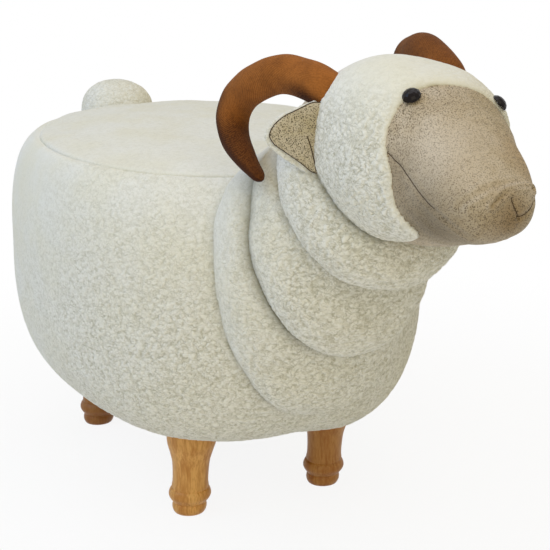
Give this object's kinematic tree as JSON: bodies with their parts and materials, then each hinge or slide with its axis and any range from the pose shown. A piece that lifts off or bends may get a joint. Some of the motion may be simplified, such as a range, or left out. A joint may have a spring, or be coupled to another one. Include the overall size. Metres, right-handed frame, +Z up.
{
  "type": "animal footstool",
  "caption": "Padded footstool shaped like a ram: fleece body and seat, stuffed neck and head with suede face, curled horns, ears, ball tail and turned wooden legs.",
  "frame": {"origin": "on the floor, under the middle of the whole stool's box from tail to muzzle", "axes": "+X forward to the head, +Y to the animal's left, +Z up"},
  "size_m": [0.7772, 0.3666, 0.465],
  "materials": {
    "fleece": "curly sherpa fleece",
    "face_suede": "distressed faux suede",
    "horn_suede": "matt faux suede",
    "turned_oak": "clear satin varnish",
    "plywood": "bare",
    "pine": "bare",
    "zinc_steel": "zinc plated",
    "foam": "open-cell foam",
    "stuffing": "polyester fibre",
    "black_cloth": "non-woven",
    "eye_plastic": "polished",
    "white_plastic": "moulded"
  },
  "bodies": {
    "root": {"base_board": "plywood", "base_screw_front_left": "zinc_steel", "base_screw_front_right": "zinc_steel", "base_screw_rear_left": "zinc_steel", "base_screw_rear_right": "zinc_steel", "body_cover": "fleece", "dust_cover": "black_cloth", "ear_back_left": "fleece", "ear_back_right": "fleece", "ear_lining_left": "face_suede", "ear_lining_right": "face_suede", "eye_left": "eye_plastic", "eye_right": "eye_plastic", "eye_washer_left": "white_plastic", "eye_washer_right": "white_plastic", "face_cover": "face_suede", "foot_glide_front_left": "white_plastic", "foot_glide_front_right": "white_plastic", "foot_glide_rear_left": "white_plastic", "foot_glide_rear_right": "white_plastic", "frame_post_front_left": "pine", "frame_post_front_right": "pine", "frame_post_rear_left": "pine", "frame_post_rear_right": "pine", "hanger_bolt_front_left": "zinc_steel", "hanger_bolt_front_right": "zinc_steel", "hanger_bolt_rear_left": "zinc_steel", "hanger_bolt_rear_right": "zinc_steel", "head_filling": "stuffing", "head_hood": "fleece", "horn_left": "horn_suede", "horn_right": "horn_suede", "leg_front_left": "turned_oak", "leg_front_right": "turned_oak", "leg_rear_left": "turned_oak", "leg_rear_right": "turned_oak", "neck_board": "plywood", "neck_bolt_front": "zinc_steel", "neck_bolt_rear": "zinc_steel", "neck_nut_front": "zinc_steel", "neck_nut_rear": "zinc_steel", "neck_rail": "pine", "neck_roll_lower": "fleece", "neck_roll_middle": "fleece", "neck_roll_upper": "fleece", "seat_board": "plywood", "seat_cover": "fleece", "seat_foam": "foam", "seat_screw_front_left": "zinc_steel", "seat_screw_front_right": "zinc_steel", "seat_screw_rear_left": "zinc_steel", "seat_screw_rear_right": "zinc_steel", "side_foam": "foam", "tail": "fleece", "tee_nut_front_left": "zinc_steel", "tee_nut_front_right": "zinc_steel", "tee_nut_rear_left": "zinc_steel", "tee_nut_rear_right": "zinc_steel"}
  },
  "joints": []
}
